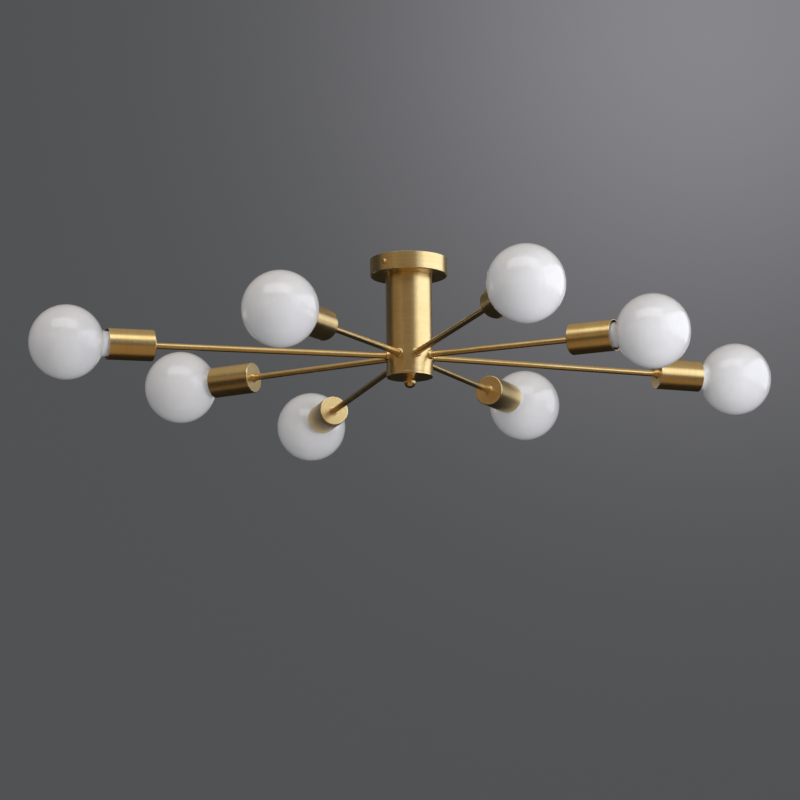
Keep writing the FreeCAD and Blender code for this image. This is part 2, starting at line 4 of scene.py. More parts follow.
import bpy
from bpy.props import FloatProperty, FloatVectorProperty, IntProperty, PointerProperty
from bpy.types import Operator, Panel, PropertyGroup
from mathutils import Matrix, Vector
from mathutils.kdtree import KDTree


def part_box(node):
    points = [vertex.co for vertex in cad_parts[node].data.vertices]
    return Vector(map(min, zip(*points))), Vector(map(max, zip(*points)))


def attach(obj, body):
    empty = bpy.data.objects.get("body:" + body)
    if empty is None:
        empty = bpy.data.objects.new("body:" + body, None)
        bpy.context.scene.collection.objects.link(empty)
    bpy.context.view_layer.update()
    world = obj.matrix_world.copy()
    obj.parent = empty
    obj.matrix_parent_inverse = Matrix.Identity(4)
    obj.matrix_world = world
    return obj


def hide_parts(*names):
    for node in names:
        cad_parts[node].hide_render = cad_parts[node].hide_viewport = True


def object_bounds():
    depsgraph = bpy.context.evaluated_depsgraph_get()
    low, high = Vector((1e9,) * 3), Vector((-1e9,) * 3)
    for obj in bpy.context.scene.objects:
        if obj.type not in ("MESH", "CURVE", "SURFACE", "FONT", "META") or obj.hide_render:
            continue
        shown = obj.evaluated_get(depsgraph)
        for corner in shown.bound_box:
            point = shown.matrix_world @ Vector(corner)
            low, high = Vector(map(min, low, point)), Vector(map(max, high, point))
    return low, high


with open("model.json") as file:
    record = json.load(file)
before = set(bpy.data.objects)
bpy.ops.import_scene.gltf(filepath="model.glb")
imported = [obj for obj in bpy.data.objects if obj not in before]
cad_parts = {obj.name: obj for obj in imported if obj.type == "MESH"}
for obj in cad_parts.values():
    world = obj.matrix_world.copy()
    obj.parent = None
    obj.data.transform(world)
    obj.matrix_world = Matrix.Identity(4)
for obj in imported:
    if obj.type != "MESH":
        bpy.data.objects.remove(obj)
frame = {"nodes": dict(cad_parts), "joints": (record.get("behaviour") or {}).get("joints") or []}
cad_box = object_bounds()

bl_info = {
    "name": "Sputnik ceiling light",
    "version": (1, 0, 0),
    "blender": (4, 5, 0),
    "location": "View3D > Sidebar > Ceiling light",
    "description": "Models and finishes an eight-armed brass ceiling light around its fixed frame",
    "category": "Add Mesh",
}

MM = 0.001
FULL_TURN = 2 * math.pi
X_AXIS = Vector((1, 0, 0))
Z_AXIS = Vector((0, 0, 1))
LAMP_NUMBERS = range(1, 9)
SUPPORT = 0.3 * MM  # from a rounding to the loop that keeps the flat beside it flat
SAME_POINT = 0.001 * MM  # points closer than this become one
PAST_WALL = 1.2  # reach of a drill, in radii of the wall that it opens
MAKING_PLACE = "making_place"  # a point's place on the bench: along the axis, then across it
EDGE_WEAR = "edge_wear"  # 1 on rounded edges, 0 elsewhere
FRAME_BODY = "light_frame"


def frame_size(node):
    """Size of a frame node's box."""
    low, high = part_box(node)
    return high - low


# Places and directions from the frame


def joint_axis(name):
    """Direction in which a joint moves its body."""
    axes = {joint["name"]: joint["axis"] for joint in frame["joints"]}
    return Vector(axes[name]).normalized()


def along_axis(origin, outwards):
    """Placement with X along a direction and Z as near to straight up as it can be."""
    sideways = Z_AXIS.cross(outwards).normalized()
    upwards = outwards.cross(sideways)
    turn = Matrix((outwards, sideways, upwards)).transposed()
    return Matrix.Translation(origin) @ turn.to_4x4()


def globe_centre(number):
    """Centre of a globe, whose outermost point is the far side of its box."""
    low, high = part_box(f"bulb_globe_{number}")
    outwards = joint_axis(f"bulb_{number}_unscrew")
    radius = (high.z - low.z) / 2
    centre = (low + high) / 2
    for side in (0, 1):
        if outwards[side] > radius:
            centre[side] = high[side] - radius
        elif outwards[side] < -radius:
            centre[side] = low[side] + radius
    return centre


def lamp_place(number):
    """Placement of a lamp: X outwards from the globe's centre."""
    return along_axis(globe_centre(number), joint_axis(f"bulb_{number}_unscrew"))


def lamp_reach(number):
    """Distance from the stem's axis to a globe's centre, along the arm."""
    outwards = joint_axis(f"bulb_{number}_unscrew")
    return globe_centre(number).xy.length / outwards.xy.length


def hub_place(number):
    """Placement of an arm: X outwards from the stem's axis."""
    outwards = joint_axis(f"bulb_{number}_unscrew")
    origin = globe_centre(number) - outwards * lamp_reach(number)
    return along_axis(origin, outwards)


def screw_place(number):
    """Placement of a canopy screw: X outwards from the canopy's axis."""
    low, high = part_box(f"canopy_screw_{number}")
    origin = Vector((0, 0, (low.z + high.z) / 2))
    return along_axis(origin, joint_axis(f"canopy_screw_{number}_unscrew"))


# Sizes and finishes that a user would change


def length(description, millimetres):
    """A length setting."""
    return FloatProperty(description=description, default=millimetres * MM, unit="LENGTH", precision=5)


def degrees(description, turn):
    """An angle setting."""
    return FloatProperty(description=description, default=math.radians(turn), subtype="ANGLE")


def colour(description, red, green, blue):
    """A colour setting."""
    tint = (red, green, blue, 1)
    return FloatVectorProperty(description=description, default=tint, size=4, subtype="COLOR", min=0, max=1)


class StemSizes(PropertyGroup):
    canopy_wall: length("Thickness of the canopy's sheet", 1.2)
    canopy_edge: length("Rounding of the canopy's lower edge", 1.5)
    rod_hole: length("Radius of the hole for the threaded rod", 5.1)
    screw_hole: length("Radius of the canopy's side holes", 2.2)
    stem_wall: length("Thickness of the stem's tube", 1.5)
    arm_hole: length("Radius of the stem's side holes", 4.1)
    spigot_height: length("Height of the bottom cap inside the stem", 6.0)
    spigot_wall: length("Thickness of the bottom cap's spigot", 2.0)
    fit: length("Gap between the spigot and the stem's bore", 0.1)
    seam: length("Broken edges on both sides of the bottom cap's seam", 0.25)
    finial_neck: length("Radius of the ball nut where it meets the cap", 6.6)
    finial_bore: length("Radius of the ball nut's threaded hole", 5.08)
    finial_depth: length("Depth of the ball nut's threaded hole", 7.85)


class ArmSizes(PropertyGroup):
    tube_radius: length("Outside radius of an arm", 4.0)
    tube_wall: length("Thickness of an arm's tube", 1.0)
    tube_end: length("From the globe's centre to the arm's outer end", 103.5)
    hub_collar_radius: length("Radius of the collar on the stem", 6.25)
    hub_collar_length: length("How far the collar stands off the stem", 3.0)
    flange_radius: length("Radius of the cup collar's flange", 6.5)
    flange_length: length("Thickness of the cup collar's flange", 1.2)
    collar_radius: length("Radius of the cup collar behind its flange", 5.5)
    collar_length: length("Length of the cup collar", 3.4)


class CupSizes(PropertyGroup):
    radius: length("Outside radius of a cup", 20.0)
    depth: length("Length of a cup", 60.0)
    wall: length("Thickness of a cup's side", 1.0)
    back: length("Thickness of a cup's back", 1.5)
    back_edge: length("Rounding of a cup's back edge", 1.0)
    rim_edge: length("Rounding of a cup's rim", 0.4)
    setback: length("From the globe's centre to the cup's rim", 52.0)


class GlobeSizes(PropertyGroup):
    wall: length("Thickness of the glass", 1.0)
    neck_radius: length("Radius of the glass neck", 16.0)
    neck_blend: length("Radius of the curve between globe and neck", 8.0)
    neck_end: length("From the globe's centre to the end of the straight neck", 55.0)
    cap_rim: length("From the globe's centre to the cap's rim", 63.5)
    cap_radius: length("Radius of the screw cap over its thread", 13.2)
    cap_wall: length("Thickness of the cap's sheet", 0.5)
    cap_thread: length("Length of the cap's threaded side", 21.0)
    thread_pitch: length("Rise of the lamp thread in one turn", 3.629)
    thread_depth: length("Depth of the lamp thread", 1.1)
    cap_cone: length("Height of the cap's glass insulator", 3.5)
    contact_radius: length("Radius of the cap's centre contact", 4.75)
    cap_length: length("Length of the cap with its contact", 27.0)
    skirt: length("Length of the glass inside the cap", 4.5)
    shell_gap: length("Gap between the lamp thread and the holder's screw shell", 0.3)
    shell_front: length("From the globe's centre to the screw shell's front", 64.5)
    shell_back: length("From the globe's centre to the screw shell's back", 93.0)


class ScrewSizes(PropertyGroup):
    head_radius: length("Radius of a canopy screw's head", 3.25)
    head_height: length("Height of a canopy screw's head", 2.2)
    shank_radius: length("Radius of a canopy screw over its thread", 2.0)
    thread_pitch: length("Rise of the screw thread in one turn", 0.7)
    thread_depth: length("Depth of the screw thread", 0.4)
    recess_width: length("Width of each arm of the cross recess", 0.9)
    recess_span: length("Span of the cross recess", 3.6)
    recess_depth: length("Depth of the cross recess", 1.4)


class Finishes(PropertyGroup):
    brass: colour("Satin brass", 0.88, 0.69, 0.35)
    deep_brass: colour("Satin brass where it has darkened", 0.78, 0.55, 0.22)
    worn_brass: colour("Brass on its rounded edges", 0.93, 0.80, 0.53)
    opal: colour("Opal glass where it is thick", 0.86, 0.86, 0.89)
    thin_opal: colour("Opal glass where it is thin", 0.78, 0.78, 0.82)


class StageSettings(PropertyGroup):
    bearing: degrees("Direction from which the camera looks, round the stem", -17.708)
    stand_off: length("Level distance from the stem to the camera", 4879)
    sideways: length("Camera to the right of the line through the stem", -10.6)
    drop: length("Camera below the ceiling", 1181.6)
    lift: degrees("Camera's upward tilt", 11.5395)
    pan: degrees("Camera's sideways turn", 0.0289)
    roll: degrees("Camera's roll", -0.6466)
    lens: FloatProperty(description="Focal length on a 36 mm frame", default=174.185, unit="CAMERA")
    floor_drop: length("Floor below the ceiling", 2400)
    floor_size: length("Side of the floor", 12000)
    floor_forward: length("Middle of the floor, in front of the light", 800)
    floor_clear: length("Radius inside which the floor is whole", 1200)
    floor_end: length("Radius at which the floor has faded into the backdrop", 2800)
    floor: colour("Colour of the floor", 0.70, 0.63, 0.53)
    backdrop: colour("Plain grey backdrop", 0.083, 0.085, 0.089)
    far_backdrop: colour("Backdrop to the sides and behind the camera", 0.045, 0.045, 0.047)
    pool: colour("Backdrop in the middle of its pool of light", 0.243, 0.240, 0.258)
    shade: colour("Backdrop well below the horizon", 0.016, 0.015, 0.014)
    overhead: colour("Backdrop high above", 0.36, 0.31, 0.25)
    pool_bearing: degrees("Middle of the backdrop's pool of light, to the right of straight on", 4.8)
    pool_lift: degrees("Middle of the backdrop's pool of light, above the horizon", 17.0)
    pool_spread: degrees("Angle over which the pool of light fades", 3.45)
    shade_start: degrees("Height on the backdrop at which its shade begins", 5.0)
    shade_end: degrees("Height on the backdrop at which its shade is full", -4.0)
    overhead_start: degrees("Height on the backdrop at which it begins to brighten", 24.0)
    overhead_end: degrees("Height on the backdrop at which it is brightest", 55.0)
    room: FloatProperty(description="Strength of the even light all round", default=0.38)


class CeilingLight(PropertyGroup):
    stem: PointerProperty(type=StemSizes)
    arm: PointerProperty(type=ArmSizes)
    cup: PointerProperty(type=CupSizes)
    globe: PointerProperty(type=GlobeSizes)
    screw: PointerProperty(type=ScrewSizes)
    finish: PointerProperty(type=Finishes)
    stage: PointerProperty(type=StageSettings)
    round_steps: IntProperty(description="Facets round a large piece", default=128)
    small_steps: IntProperty(description="Facets round a small piece", default=64)


def settings():
    """The light's settings."""
    return bpy.context.scene.ceiling_light


# Modelling


def only(piece):
    """Leave one object selected and active."""
    bpy.ops.object.select_all(action="DESELECT")
    piece.select_set(True)
    bpy.context.view_layer.objects.active = piece


def rounded(*corners, arc_steps=5):
    """Half-section through (along, radius, rounding) corners as (along, radius, wear) points."""
    section = []
    for index, (along, radius, rounding) in enumerate(corners):
        corner = Vector((along, radius))
        if rounding == 0:
            section.append((along, radius, 0.0))
            continue
        before = (Vector(corners[index - 1][:2]) - corner).normalized()
        after = (Vector(corners[(index + 1) % len(corners)][:2]) - corner).normalized()
        half_angle = before.angle(after) / 2
        tangent = rounding / math.tan(half_angle)
        centre = corner + (before + after).normalized() * (rounding / math.sin(half_angle))
        start = corner + before * tangent - centre
        end = corner + after * tangent - centre
        for step in range(arc_steps + 1):
            point = centre + start.lerp(end, step / arc_steps).normalized() * rounding
            section.append((point.x, point.y, 1.0))
    return section


def arc(middle, reach, start, end, steps):
    """(along, radius, wear) points of an arc round a middle, its angles counted from the axis."""
    points = []
    for step in range(steps + 1):
        angle = start + (end - start) * step / steps
        points.append((middle[0] + reach * math.cos(angle), middle[1] + reach * math.sin(angle), 0.0))
    return points


def supported(section, closed):
    """Add a point a little way in from each end of the long runs, so that rounding stays local."""
    runs = list(zip(section, section[1:] + section[:1] if closed else section[1:]))
    points = []
    for (along, radius, wear), (next_along, next_radius, next_wear) in runs:
        start, end = Vector((along, radius)), Vector((next_along, next_radius))
        points.append((along, radius, wear))
        run = (end - start).length
        if run > 4 * SUPPORT:
            for share in (SUPPORT / run, 1 - SUPPORT / run):
                place = start.lerp(end, share)
                points.append((place.x, place.y, 0.0))
    points.append(section[0] if closed else section[-1])
    return points


def note_places(piece, axis, section):
    """Store each point's place on the bench and the wear of its profile point."""
    order = (0, 1, 2) if axis is X_AXIS else (2, 0, 1)
    points = KDTree(len(section))
    for index, (along, radius, wear) in enumerate(section):
        points.insert((along, radius, 0), index)
    points.balance()
    places, wears = [], []
    for vertex in piece.data.vertices:
        along, across, upwards = [vertex.co[side] for side in order]
        nearest = points.find((along, math.hypot(across, upwards), 0))[1]
        places += [along, across, upwards]
        wears.append(section[nearest][2])
    piece.data.attributes.new(MAKING_PLACE, "FLOAT_VECTOR", "POINT").data.foreach_set("vector", places)
    piece.data.attributes.new(EDGE_WEAR, "FLOAT", "POINT").data.foreach_set("value", wears)


def smooth(piece, angle=32):
    """Shade smooth up to an angle."""
    only(piece)
    bpy.ops.object.shade_smooth_by_angle(angle=math.radians(angle))


def turned(name, section, steps, axis=X_AXIS, closed=True):
    """Draw a half-section point by point and spin it round an axis through the origin."""
    section = supported(section, closed)
    across = Z_AXIS if axis is X_AXIS else X_AXIS
    points = [axis * along + across * radius for along, radius, wear in section]
    bpy.ops.mesh.primitive_circle_add(vertices=3, radius=MM)
    piece = bpy.context.active_object
    piece.name = name
    bpy.ops.object.mode_set(mode="EDIT")
    bpy.ops.mesh.select_all(action="SELECT")
    bpy.ops.mesh.merge(type="CENTER")
    bpy.ops.transform.translate(value=points[0])
    for before, after in zip(points, points[1:]):
        bpy.ops.mesh.extrude_vertices_move(TRANSFORM_OT_translate={"value": after - before})
    bpy.ops.mesh.select_all(action="SELECT")
    bpy.ops.mesh.spin(steps=steps, angle=FULL_TURN, center=(0, 0, 0), axis=axis)
    bpy.ops.mesh.select_all(action="SELECT")
    bpy.ops.mesh.remove_doubles(threshold=SAME_POINT)
    bpy.ops.mesh.normals_make_consistent(inside=False)
    bpy.ops.object.mode_set(mode="OBJECT")
    note_places(piece, axis, section)
    smooth(piece)
    return piece


def ring_stack(name, rings, steps, closed):
    """Circles round X, each extruded from the last: (along, radius, sideways, upwards, wear)."""
    if closed:
        rings = rings + rings[:1]
    along, radius, sideways, upwards = rings[0][:4]
    bpy.ops.mesh.primitive_circle_add(
        vertices=steps,
        radius=radius,
        location=(along, sideways, upwards),
        rotation=(0, math.pi / 2, 0),
        fill_type="NOTHING" if closed else "NGON",
    )
    piece = bpy.context.active_object
    piece.name = name
    bpy.ops.object.transform_apply()
    bpy.ops.object.mode_set(mode="EDIT")
    bpy.ops.mesh.select_all(action="SELECT")
    for before, after in zip(rings, rings[1:]):
        move = [after[side] - before[side] for side in (0, 2, 3)]
        bpy.ops.mesh.extrude_region_move(TRANSFORM_OT_translate={"value": move})
        growth = after[1] / before[1]
        if growth != 1:
            middle = (after[0], after[2], after[3])
            bpy.ops.transform.resize(value=(1, growth, growth), center_override=middle)
    bpy.ops.mesh.select_all(action="SELECT")
    bpy.ops.mesh.remove_doubles(threshold=SAME_POINT)
    bpy.ops.mesh.normals_make_consistent(inside=False)
    bpy.ops.object.mode_set(mode="OBJECT")
    note_places(piece, X_AXIS, [(ring[0], ring[1], ring[4]) for ring in rings])
    smooth(piece, angle=50)
    return piece


def thread_rings(start, end, crest_radius, depth, pitch, fade, steps_per_turn=18):
    """Rings whose centres go round the axis: a rolled thread that fades in and out over some rings."""
    count = max(2, round(abs(end - start) / pitch * steps_per_turn))
    throw = depth / 2
    rings = []
    for step in range(count + 1):
        share = step / count
        along = start + (end - start) * share
        swing = throw * min(1.0, share * count / fade, (1 - share) * count / fade)
        angle = FULL_TURN * along / pitch
        ring_radius = crest_radius - throw
        rings.append((along, ring_radius, swing * math.cos(angle), swing * math.sin(angle), 0.0))
    return rings


def plain_ring(along, radius, wear=0.0):
    """A ring centred on the axis."""
    return (along, radius, 0.0, 0.0, wear)


def other_side(rings, growth):
    """The same rings on a sheet's other side, in reverse order."""
    return [(ring[0], ring[1] + growth, *ring[2:4], 0.0) for ring in rings[::-1]]


def cut_away(piece, cutter):
    """Cut one object out of another and throw the cutter away."""
    only(piece)
    cut = piece.modifiers.new("cut", "BOOLEAN")
    cut.operation = "DIFFERENCE"
    cut.solver = "EXACT"
    cut.object = cutter
    bpy.ops.object.modifier_apply(modifier=cut.name)
    bpy.data.objects.remove(cutter)
    smooth(piece)


def drill(radius, wall_radius):
    """A round cutter along X, from the origin through a wall."""
    reach = wall_radius * PAST_WALL
    bpy.ops.mesh.primitive_cylinder_add(
        vertices=48, radius=radius, depth=reach, location=(reach / 2, 0, 0), rotation=(0, math.pi / 2, 0)
    )
    cutter = bpy.context.active_object
    bpy.ops.object.transform_apply()
    return cutter


def placed(piece, place):
    """Put a finished piece in its place, which is kept in its mesh."""
    piece.matrix_world = place
    only(piece)
    bpy.ops.object.transform_apply()
    return piece


def copies(pattern, name, places):
    """One copy of a pattern piece at each numbered place, with its own mesh."""
    made = {}
    for number, place in places.items():
        only(pattern)
        bpy.ops.object.duplicate(linked=False)
        copy = bpy.context.active_object
        copy.name = f"{name}_{number}"
        made[number] = placed(copy, place)
    bpy.data.objects.remove(pattern)
    return made


def lamp_places():
    """Placement of every lamp, by its number."""
    return {number: lamp_place(number) for number in LAMP_NUMBERS}


def joined(pieces, name):
    """Join several objects into the first."""
    bpy.ops.object.select_all(action="DESELECT")
    for piece in pieces:
        piece.select_set(True)
    bpy.context.view_layer.objects.active = pieces[0]
    bpy.ops.object.join()
    pieces[0].name = name
    return pieces[0]


def dress(piece, material, body, node):
    """Finish a piece, let it ride on its body, and let it stand for its node."""
    piece.data.materials.clear()
    piece.data.materials.append(material)
    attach(piece, body)
    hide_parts(node)


def refinish(node, material):
    """Give a frame piece that stays its real finish."""
    frame["nodes"][node].material_slots[0].material = material


# Materials


def new_material(name):
    """An empty node material."""
    material = bpy.data.materials.new(name)
    material.use_nodes = True
    material.node_tree.nodes.clear()
    return material, material.node_tree


def add(tree, kind, sockets=None, **plain):
    """Add a shader node, with its plain settings, and give each socket a value or a link."""
    node = tree.nodes.new("ShaderNode" + kind)
    for name, value in plain.items():
        setattr(node, name, value)
    for socket, value in (sockets or {}).items():
        if isinstance(value, bpy.types.NodeSocket):
            tree.links.new(value, node.inputs[socket])
        else:
            node.inputs[socket].default_value = value
    return node


def blend_colours(tree, factor, first, second):
    """Mix two colours."""
    mix = add(tree, "Mix", {0: factor, 6: first, 7: second}, data_type="RGBA")
    return mix.outputs[2]


def spread(tree, value, low, high, from_low=0.0, from_high=1.0):
    """Map a value to a range."""
    sockets = {"Value": value, "From Min": from_low, "From Max": from_high, "To Min": low, "To Max": high}
    return add(tree, "MapRange", sockets).outputs["Result"]


def maths(tree, operation, *values):
    """One step of arithmetic."""
    return add(tree, "Math", dict(enumerate(values)), operation=operation).outputs[0]


def object_place(tree):
    """A point's place in the light."""
    return add(tree, "TexCoord").outputs["Object"]


def noise(tree, vector, scale, detail=2.0, **sockets):
    """Soft random variation."""
    inputs = {"Vector": vector, "Scale": scale, "Detail": detail, **sockets}
    return add(tree, "TexNoise", inputs).outputs["Fac"]


def attribute(tree, name, output):
    """A stored attribute of the mesh."""
    return add(tree, "Attribute", attribute_name=name, attribute_type="GEOMETRY").outputs[output]


def surface(tree, material, sockets):
    """The shader and the material's output."""
    shader = add(tree, "BsdfPrincipled", sockets)
    add(tree, "OutputMaterial", {"Surface": shader.outputs["BSDF"]})
    return material


def relief(tree, height, depth, strength):
    """Bump of a real depth."""
    return add(tree, "Bump", {"Height": height, "Distance": depth, "Strength": strength}).outputs["Normal"]


def turning_lines(tree, fine, round_scale):
    """Fine lines that run round a turned piece, from its place on the bench."""
    split = add(tree, "SeparateXYZ", {0: attribute(tree, MAKING_PLACE, "Vector")})
    along, across, upwards = split.outputs
    spoke = add(tree, "CombineXYZ", {"Y": across, "Z": upwards}).outputs[0]
    radius = add(tree, "VectorMath", {0: spoke}, operation="LENGTH").outputs["Value"]
    heading = add(tree, "VectorMath", {0: spoke}, operation="NORMALIZE").outputs["Vector"]
    slow = add(tree, "VectorMath", {0: heading, "Scale": round_scale}, operation="SCALE").outputs["Vector"]
    run = add(tree, "CombineXYZ", {"X": maths(tree, "MULTIPLY", along, fine)}).outputs[0]
    place = add(tree, "VectorMath", {0: slow, 1: run}, operation="ADD").outputs["Vector"]
    sockets = {"Vector": place, "W": maths(tree, "MULTIPLY", radius, fine), "Scale": 1.0, "Detail": 3.0}
    return add(tree, "TexNoise", sockets, noise_dimensions="4D").outputs["Fac"]


def turned_brass():
    """Turned satin brass: fine lines round each piece, darker clouds and paler worn edges."""
    finish = settings().finish
    material, tree = new_material("turned_brass")
    lines = turning_lines(tree, fine=3200.0, round_scale=1.3)
    bands = turning_lines(tree, fine=420.0, round_scale=0.6)
    clouds = noise(tree, object_place(tree), 22.0, 4.0, Roughness=0.6)
    specks = noise(tree, object_place(tree), 900.0, 2.0)
    tone = spread(tree, maths(tree, "ADD", clouds, bands), 0.0, 0.75, 0.75, 1.25)
    brass = blend_colours(tree, tone, tuple(finish.brass), tuple(finish.deep_brass))
    lined = blend_colours(tree, spread(tree, lines, 0.0, 0.25), brass, tuple(finish.deep_brass))
    rubbed = spread(tree, clouds, 0.2, 0.9, 0.3, 0.7)
    wear = maths(tree, "MULTIPLY", attribute(tree, EDGE_WEAR, "Fac"), rubbed)
    worn = blend_colours(tree, wear, lined, tuple(finish.worn_brass))
    rough = maths(tree, "ADD", spread(tree, lines, 0.24, 0.34), spread(tree, clouds, -0.02, 0.03))
    softer = maths(tree, "SUBTRACT", rough, maths(tree, "MULTIPLY", wear, 0.06))
    grain = maths(tree, "ADD", lines, maths(tree, "MULTIPLY", specks, 0.25))
    sockets = {
        "Base Color": worn,
        "Metallic": 1.0,
        "Roughness": softer,
        "Normal": relief(tree, grain, 0.008 * MM, 0.2),
    }
    return surface(tree, material, sockets)


def opal_glass():
    """Opal glass: white all through, a little cloudy, glossy outside."""
    finish = settings().finish
    material, tree = new_material("opal_globe_glass")
    place = attribute(tree, MAKING_PLACE, "Vector")
    clouds = noise(tree, object_place(tree), 26.0, 3.0, Roughness=0.45, Distortion=0.6)
    waves = noise(tree, object_place(tree), 60.0, 2.0)
    along = add(tree, "SeparateXYZ", {0: place}).outputs["X"]
    towards_neck = spread(tree, along, 0.0, 1.0, -38 * MM, -60 * MM)
    thin = maths(tree, "MAXIMUM", spread(tree, clouds, 0.0, 0.6, 0.35, 0.75), towards_neck)
    sockets = {
        "Base Color": blend_colours(tree, thin, tuple(finish.opal), tuple(finish.thin_opal)),
        "Roughness": spread(tree, waves, 0.10, 0.17),
        "IOR": 1.5,
        "Coat Weight": 0.5,
        "Coat Roughness": 0.04,
        "Subsurface Weight": 0.25,
        "Subsurface Radius": (1.0, 1.0, 1.0),
        "Subsurface Scale": 4.0 * MM,
        "Normal": relief(tree, waves, 0.03 * MM, 0.2),
    }
    return surface(tree, material, sockets)


def plain_metal(name, tint, shade, roughness):
    """Plated or raw metal with a slightly uneven colour and gloss."""
    material, tree = new_material(name)
    clouds = noise(tree, object_place(tree), 180.0, 4.0, Roughness=0.6)
    sockets = {
        "Base Color": blend_colours(tree, clouds, tint, shade),
        "Metallic": 1.0,
        "Roughness": spread(tree, clouds, roughness - 0.08, roughness + 0.10),
        "Normal": relief(tree, clouds, 0.01 * MM, 0.4),
    }
    return surface(tree, material, sockets)


def moulded(name, tint, shade, roughness):
    """Moulded plastic with a fine skin."""
    material, tree = new_material(name)
    skin = noise(tree, object_place(tree), 2400.0, 2.0)
    clouds = noise(tree, object_place(tree), 80.0, 3.0)
    sockets = {
        "Base Color": blend_colours(tree, clouds, tint, shade),
        "Roughness": spread(tree, skin, roughness - 0.06, roughness + 0.08),
        "IOR": 1.5,
        "Normal": relief(tree, skin, 0.02 * MM, 0.4),
    }
    return surface(tree, material, sockets)


def dress_brass(piece, node, body=FRAME_BODY):
    """Dress a piece in the light's one satin brass."""
    brass = bpy.data.materials.get("turned_brass") or turned_brass()
    dress(piece, brass, body, node)


class Maker:
    """What the making steps share"""

    def execute(self, context):
        self.make()
        return {"FINISHED"}


# Ceiling end and stem


class LIGHT_OT_canopy(Maker, Operator):
    """Spin the shallow canopy and drill its side holes"""

    bl_idname = "light.canopy"
    bl_label = "Canopy"

    def make(self):
        sizes = settings().stem
        size = frame_size("canopy")
        radius, depth = size.x / 2, size.z
        inside = radius - sizes.canopy_wall
        floor = sizes.canopy_wall - depth
        section = rounded(
            (0, inside, 0.0),
            (0, radius, 0.2 * MM),
            (-depth, radius, sizes.canopy_edge),
            (-depth, sizes.rod_hole, 0.0),
            (floor, sizes.rod_hole, 0.0),
            (floor, inside, 0.3 * MM),
        )
        canopy = turned("brass_canopy", section, settings().round_steps * 3 // 2, Z_AXIS)
        for number in (1, 2):
            cut_away(canopy, placed(drill(sizes.screw_hole, radius), screw_place(number)))
        dress_brass(canopy, "canopy")


class LIGHT_OT_stem(Maker, Operator):
    """Spin the stem's tube, drill it for the arms, and close it with the bottom cap"""

    bl_idname = "light.stem"
    bl_label = "Stem"

    def make(self):
        self.make_tube()
        self.make_bottom_cap()

    def make_tube(self):
        sizes = settings().stem
        low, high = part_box("stem_tube")
        radius = high.x
        bore = radius - sizes.stem_wall
        section = rounded(
            (high.z, bore, 0.0),
            (high.z, radius, sizes.seam),
            (low.z, radius, sizes.seam),
            (low.z, bore, 0.0),
        )
        tube = turned("brass_stem", section, settings().round_steps, Z_AXIS)
        drills = [placed(drill(sizes.arm_hole, radius), hub_place(n)) for n in LAMP_NUMBERS]
        cut_away(tube, joined(drills, "drills"))
        dress_brass(tube, "stem_tube")

    def make_bottom_cap(self):
        sizes = settings().stem
        low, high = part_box("bottom_cap")
        radius = high.x
        seam = high.z - sizes.spigot_height
        spigot = radius - sizes.stem_wall - sizes.fit
        inside = spigot - sizes.spigot_wall
        section = rounded(
            (low.z, sizes.rod_hole, 0.0),
            (low.z, radius, 0.5 * MM),
            (seam, radius, sizes.seam),
            (seam, spigot, 0.0),
            (high.z, spigot, 0.4 * MM),
            (high.z, inside, 0.0),
            (seam, inside, 0.0),
            (seam, sizes.rod_hole, 0.0),
        )
        cap = turned("brass_bottom_cap", section, settings().round_steps, Z_AXIS)
        dress_brass(cap, "bottom_cap")


class LIGHT_OT_finial(Maker, Operator):
    """Spin the ball nut below the stem"""

    bl_idname = "light.finial"
    bl_label = "Ball nut"

    def make(self):
        sizes = settings().stem
        low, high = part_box("finial")
        radius = high.x
        middle = low.z + radius
        start = high.z - sizes.finial_depth
        section = [(high.z, sizes.finial_neck, 0.0), (high.z, sizes.finial_bore, 0.0)]
        section += [(start, sizes.finial_bore, 0.0), (start, 0, 0.0)]
        section += arc((middle, 0), radius, math.pi, math.asin(sizes.finial_neck / radius), 32)
        ball = turned("brass_ball_nut", section, settings().small_steps, Z_AXIS)
        dress_brass(ball, "finial", "ball_nut")


